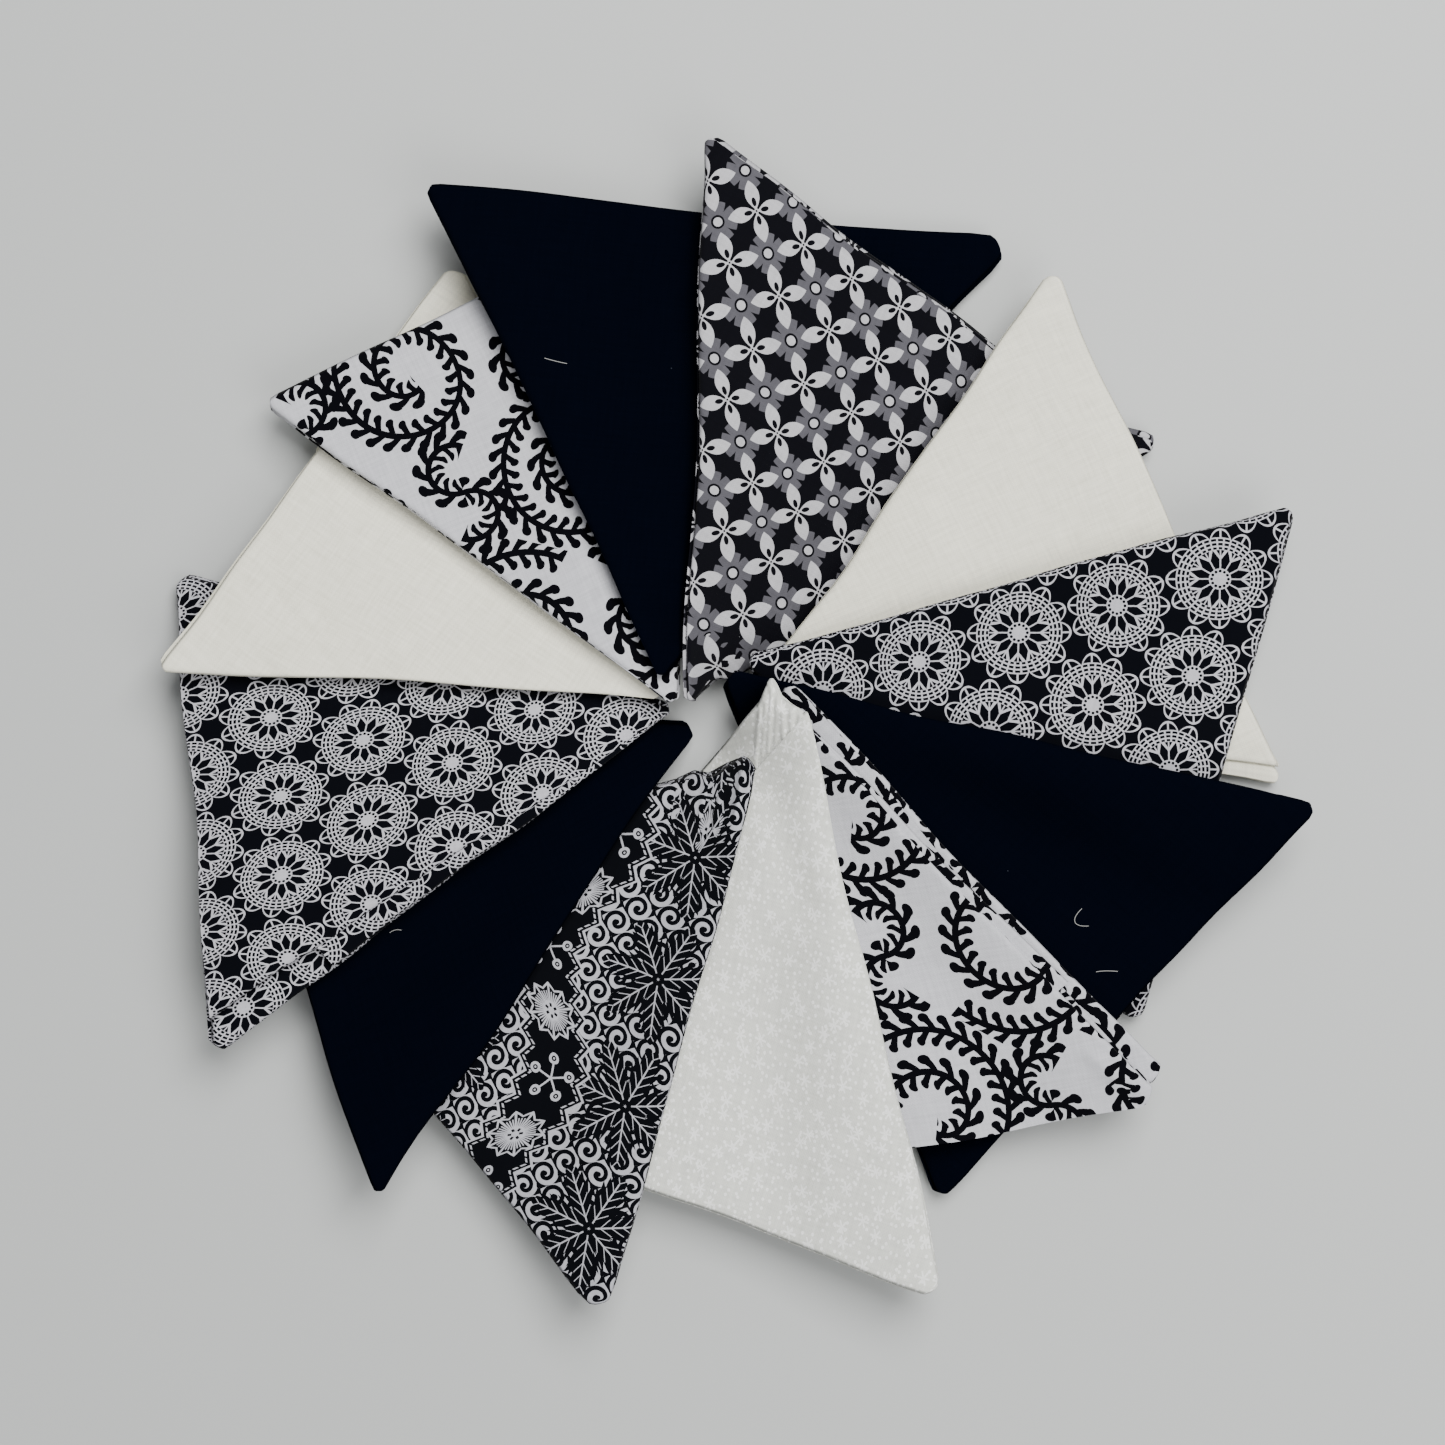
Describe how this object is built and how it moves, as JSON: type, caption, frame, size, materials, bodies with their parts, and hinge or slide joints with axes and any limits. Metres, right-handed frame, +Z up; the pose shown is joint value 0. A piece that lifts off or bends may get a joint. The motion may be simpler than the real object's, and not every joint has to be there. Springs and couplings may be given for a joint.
{
  "type": "fat quarter bundle",
  "caption": "Bundle of fat quarters of quilting cotton, each flag-folded into a triangle and fanned into a closed, overlapping ring on a table.",
  "frame": {"origin": "middle of the ring's bounding box, on the table it lies on", "axes": "+Z up through the stack of cloth; +Y towards the top of the ring as it is seen in the picture; +X to its right"},
  "size_m": [0.2754, 0.2798, 0.0294],
  "materials": {
    "petal": "plain-woven printing cotton, black ground with white petal flowers and grey flowers in a square lattice",
    "cream": "plain-woven quilting cotton dyed a solid cream, matt",
    "doily": "plain-woven cotton printed with white lace doilies on navy black",
    "navy": "plain-woven quilting cotton dyed a solid navy, matt",
    "vine": "plain-woven cotton printed with black leafy vine scrolls on cool white",
    "star": "plain-woven cotton printed with white dots and small stars on off-white",
    "scroll": "plain-woven cotton printed with black leaves, flowers and scrolls on white"
  },
  "bodies": {
    "root": {"fat_quarter_01_petal": "petal", "fat_quarter_02_cream": "cream", "fat_quarter_03_doily": "doily", "fat_quarter_04_navy": "navy", "fat_quarter_05_vine": "vine", "fat_quarter_06_star": "star", "fat_quarter_07_scroll": "scroll", "fat_quarter_08_navy": "navy", "fat_quarter_09_doily": "doily", "fat_quarter_10_cream": "cream", "fat_quarter_11_vine": "vine", "fat_quarter_12_navy": "navy"}
  },
  "joints": []
}
